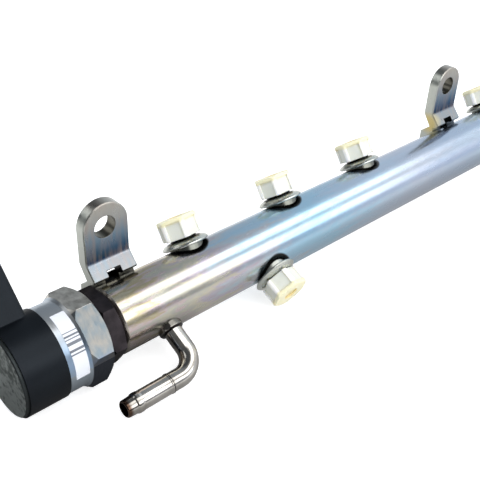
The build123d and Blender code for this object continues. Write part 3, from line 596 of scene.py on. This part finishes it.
def seamless_paper():
    """Pale matt paper, lifted to white where it is looked at. What mirrors it sees a painted glow
    instead, with painted shadow that darkens it towards the rail and to near black under the valve."""
    made = bpy.data.materials.new("seamless_paper")
    tree = empty_tree(made)
    seen = add(tree, "ShaderNodeLightPath", {}, "Is Camera Ray")
    mirrored = add(tree, "ShaderNodeLightPath", {}, "Is Glossy Ray")
    lift = add(tree, "ShaderNodeMath", {"operation": "MULTIPLY", 0: seen, 1: SEEN_LIFT})
    lit = add(tree, "ShaderNodeAddShader", {
        0: add(tree, "ShaderNodeBsdfDiffuse", {"Color": "#e6e6e6"}),
        1: add(tree, "ShaderNodeEmission", {"Strength": lift}),
    })
    place = add(tree, "ShaderNodeTexCoord", {}, "Object")
    # painted shadow of the valve and pipe, in the glow that mirrors see
    near = add(tree, "ShaderNodeMapRange", {
        "Value": millimetres(tree, place, (1, 0, 0)),
        "From Min": VALVE_SHADE_X[0], "From Max": VALVE_SHADE_X[1],
        "To Min": MIRRORED_UNDER_VALVE, "To Max": MIRRORED_NEAR,
    })
    strength = add(tree, "ShaderNodeMapRange", {
        "Value": either_way(tree, millimetres(tree, place, (0, 1, 0)), RAIL_Y),
        "From Min": FALL_OFF_Y[0], "From Max": FALL_OFF_Y[1], "To Min": near, "To Max": MIRRORED_FAR,
    })
    painted_glow_and_shadow = add(tree, "ShaderNodeEmission", {"Strength": strength})
    both = add(tree, "ShaderNodeMixShader", {"Fac": mirrored, 1: lit, 2: painted_glow_and_shadow})
    add(tree, "ShaderNodeOutputMaterial", {"Surface": both})
    return made


def floor():
    """A wide flat sheet of paper just under the part."""
    reach = 6.0
    z = FLOOR_Z * MM
    mesh = bpy.data.meshes.new("floor")
    corners = [(-reach, -reach, z), (reach, -reach, z), (reach, reach, z), (-reach, reach, z)]
    mesh.from_pydata(corners, [], [(0, 1, 2, 3)])
    made = bpy.data.objects.new("floor", mesh)
    made.data.materials.append(seamless_paper())
    bpy.context.scene.collection.objects.link(made)


def studio_room():
    """White all round to the eye; to what it lights, a pale room, and to what mirrors it one that
    is brightest past the rail's far end and dark at its near end."""
    world = bpy.data.worlds.new("studio")
    bpy.context.scene.world = world
    tree = empty_tree(world)
    direction = add(tree, "ShaderNodeTexCoord", {}, "Generated")
    along, back, up = (
        add(tree, "ShaderNodeSeparateXYZ", {"Vector": direction}, axis) for axis in ("X", "Y", "Z")
    )
    turn = add(tree, "ShaderNodeMath", {"operation": "ARCTAN2", 0: up, 1: back})
    share = add(tree, "ShaderNodeMapRange", {"Value": turn, "From Min": -math.pi, "From Max": math.pi})
    room = add(tree, "ShaderNodeValToRGB", {"Fac": share, "stops": [
        (0.00, "#dfe3ee"), (0.45, "#d2d8df"), (0.55, "#d6dee6"), (0.72, "#d8e1ea"), (0.78, "#ffffff"),
        (0.88, "#ffffff"), (0.94, "#e6eaf4"), (1.00, "#dfe3ee"),
    ]})
    reflected = add(tree, "ShaderNodeMapRange", {
        "Value": along, "From Min": 0.25, "From Max": 0.75,
        "To Min": ROOM_MIRRORED_NEAR_END, "To Max": ROOM_MIRRORED_FAR_END,
    })
    mirrored = add(tree, "ShaderNodeLightPath", {}, "Is Glossy Ray")
    strength = add(tree, "ShaderNodeMix", {"Factor": mirrored, "A": ROOM_LIGHT, "B": reflected})
    light = add(tree, "ShaderNodeBackground", {"Color": room, "Strength": strength})
    white = add(tree, "ShaderNodeBackground", {"Color": "#ffffff", "Strength": 1.0})
    seen = add(tree, "ShaderNodeLightPath", {}, "Is Camera Ray")
    both = add(tree, "ShaderNodeMixShader", {"Fac": seen, 1: light, 2: white})
    add(tree, "ShaderNodeOutputWorld", {"Surface": both})


def softbox(name, middle, width, height, radiance):
    """A rectangular lamp of a radiance, which points square at the rail with its width along X."""
    data = bpy.data.lights.new(name, "AREA")
    data.shape = "RECTANGLE"
    data.size = width
    data.size_y = height
    data.energy = radiance * math.pi * width * height
    made = bpy.data.objects.new(name, data)
    along = Vector((1, 0, 0))
    toward = (Vector((middle.x, RAIL_Y * MM, RAIL_Z * MM)) - middle).normalized()
    turn = Matrix((along, toward.cross(along), -toward)).transposed().to_4x4()
    made.matrix_world = Matrix.Translation(middle) @ turn
    bpy.context.scene.collection.objects.link(made)


def beside_rail(angle, distance, x):
    """A place at an angle round the rail and a distance from its axis, in metres."""
    return Vector((x, RAIL_Y * MM, RAIL_Z * MM)) + distance * lean(angle)


def camera():
    """The three-quarter view down on to the valve end."""
    eye = Vector((-0.3365, -0.20639, 0.15337))
    azimuth, elevation, roll = math.radians(46.19), math.radians(33.99), math.radians(-2.53)
    ahead = Vector((
        math.cos(azimuth) * math.cos(elevation),
        math.sin(azimuth) * math.cos(elevation),
        -math.sin(elevation),
    ))
    level = Vector((math.sin(azimuth), -math.cos(azimuth), 0))
    down = ahead.cross(level)
    right = math.cos(roll) * level + math.sin(roll) * down
    below = math.cos(roll) * down - math.sin(roll) * level
    data = bpy.data.cameras.new("camera")
    data.sensor_width = 36
    data.lens = 58.006
    made = bpy.data.objects.new("camera", data)
    turn = Matrix((right, -below, -ahead)).transposed().to_4x4()
    made.matrix_world = Matrix.Translation(eye) @ turn
    bpy.context.scene.collection.objects.link(made)
    bpy.context.scene.camera = made


floor()
studio_room()
softbox("overhead_strip", beside_rail(angle=108, distance=1.5, x=0.5), width=2.1, height=0.60, radiance=2.2)
softbox("front_strip", beside_rail(angle=148, distance=1.5, x=0.5), width=2.1, height=0.66, radiance=1.9)
softbox("near_panel", beside_rail(angle=142, distance=1.65, x=0.0), width=1.2, height=1.35, radiance=1.3)
softbox("back_fill", Vector((-1.1, 0.95, 0.95)), width=1.1, height=0.9, radiance=1.1)
camera()
bpy.context.scene.view_settings.view_transform = "Standard"
